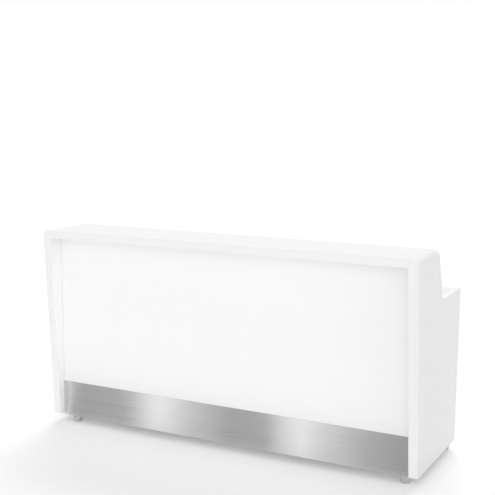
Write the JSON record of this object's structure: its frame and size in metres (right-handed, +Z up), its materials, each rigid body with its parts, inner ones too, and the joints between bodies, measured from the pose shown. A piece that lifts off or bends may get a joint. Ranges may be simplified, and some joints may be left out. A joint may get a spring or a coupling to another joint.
{
  "type": "illuminated bar counter",
  "caption": "White bar counter with thick end panels rounded at the top, a lit opal front, a brushed steel plinth, levelling feet and a lower work top over open shelves behind.",
  "frame": {"origin": "on the floor under the centre of the counter's bounding box", "axes": "+X along the counter to the right as the guests see it, +Y towards the staff side, +Z up; the lit front faces -Y"},
  "size_m": [2.13, 0.7428, 1.1],
  "materials": {
    "white_lacquer": "fibreboard under a satin white lacquer, edges eased",
    "white_board": "melamine-faced board, fine matt white",
    "opal_acrylic": "opal acrylic sheet with a satin face, lit from behind",
    "brushed_stainless": "stainless steel, brushed along its length",
    "natural_aluminium": "mill-finish extrusion or turning",
    "white_coat": "aluminium extrusion, powder coated white",
    "led_tape": "white flexible circuit tape with lamp packages",
    "black_plastic": "moulded black plastic, satin",
    "lead_sheath": "white cable sheath",
    "sole_rubber": "dark rubber"
  },
  "bodies": {
    "counter": {"end_panel_left": "white_lacquer", "end_panel_right": "white_lacquer", "bar_top": "white_lacquer", "riser_panel": "white_lacquer", "riser_batten_top": "white_board", "riser_batten_low": "white_board", "work_top": "white_lacquer", "bottom_board": "white_board", "back_panel": "white_board", "partition_1": "white_board", "partition_2": "white_board", "shelf_left": "white_board", "shelf_centre": "white_board", "shelf_right": "white_board", "plinth_plate": "brushed_stainless", "plinth_backing": "white_board", "light_box_floor": "white_board", "diffuser_channel_low": "white_coat", "diffuser_channel_top": "white_coat", "front_diffuser": "opal_acrylic", "led_rail_1": "natural_aluminium", "led_rail_2": "natural_aluminium", "led_rail_3": "natural_aluminium", "led_rail_4": "natural_aluminium", "led_tape_1": "led_tape", "led_tape_2": "led_tape", "led_tape_3": "led_tape", "led_tape_4": "led_tape", "led_driver": "natural_aluminium", "led_lead": "lead_sheath", "supply_lead": "lead_sheath", "power_inlet": "black_plastic", "foot_mount_front_left": "natural_aluminium", "foot_mount_front_right": "natural_aluminium", "foot_mount_rear_left": "natural_aluminium", "foot_mount_rear_right": "natural_aluminium"},
    "foot_front_left": {"foot_sleeve_front_left": "brushed_stainless", "foot_sole_front_left": "sole_rubber"},
    "foot_front_right": {"foot_sleeve_front_right": "brushed_stainless", "foot_sole_front_right": "sole_rubber"},
    "foot_rear_left": {"foot_sleeve_rear_left": "brushed_stainless", "foot_sole_rear_left": "sole_rubber"},
    "foot_rear_right": {"foot_sleeve_rear_right": "brushed_stainless", "foot_sole_rear_right": "sole_rubber"},
    "rocker": {"switch_rocker": "black_plastic"}
  },
  "joints": [
    {"name": "level_front_left", "type": "slide", "parent": "counter", "child": "foot_front_left", "axis": [0, 0, -1], "range_m": [0, 0.02]},
    {"name": "level_front_right", "type": "slide", "parent": "counter", "child": "foot_front_right", "axis": [0, 0, -1], "range_m": [0, 0.02]},
    {"name": "level_rear_left", "type": "slide", "parent": "counter", "child": "foot_rear_left", "axis": [0, 0, -1], "range_m": [0, 0.02]},
    {"name": "level_rear_right", "type": "slide", "parent": "counter", "child": "foot_rear_right", "axis": [0, 0, -1], "range_m": [0, 0.02]},
    {"name": "power_rocker", "type": "hinge", "parent": "counter", "child": "rocker", "pos_m": [0.516, -0.16445, 0.147], "axis": [1, 0, 0], "range_deg": [-16, 0]}
  ]
}
